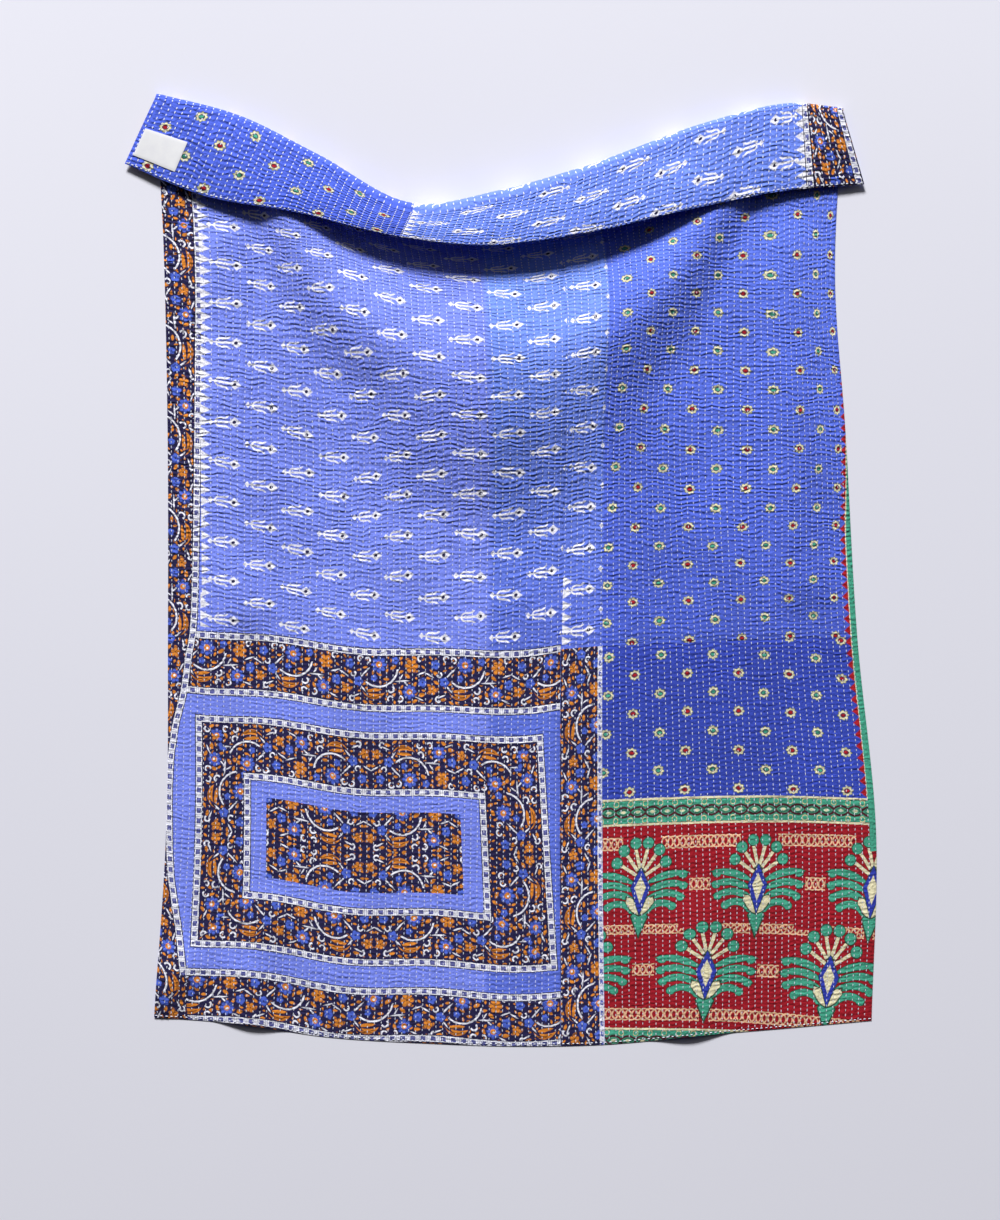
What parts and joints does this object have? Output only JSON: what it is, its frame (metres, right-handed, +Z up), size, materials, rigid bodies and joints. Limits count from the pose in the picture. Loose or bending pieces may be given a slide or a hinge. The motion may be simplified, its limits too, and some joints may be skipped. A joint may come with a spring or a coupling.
{
  "type": "kantha quilt",
  "caption": "Patchwork kantha quilt of running-stitched cotton, laid face up with its top end folded over.",
  "frame": {"origin": "middle of the quilt's bounding box, on the surface that it lies on", "axes": "+Z up from the surface, +Y along the cloth towards its folded-over top end, +X to the right seen from above with the fold at the top"},
  "size_m": [1.3142, 1.6657, 0.0488],
  "materials": {
    "quilted_cotton": "matte woven cotton with running stitch",
    "label_cotton": "matte woven tape"
  },
  "bodies": {
    "root": {"quilt": "quilted_cotton", "label": "label_cotton"}
  },
  "joints": []
}
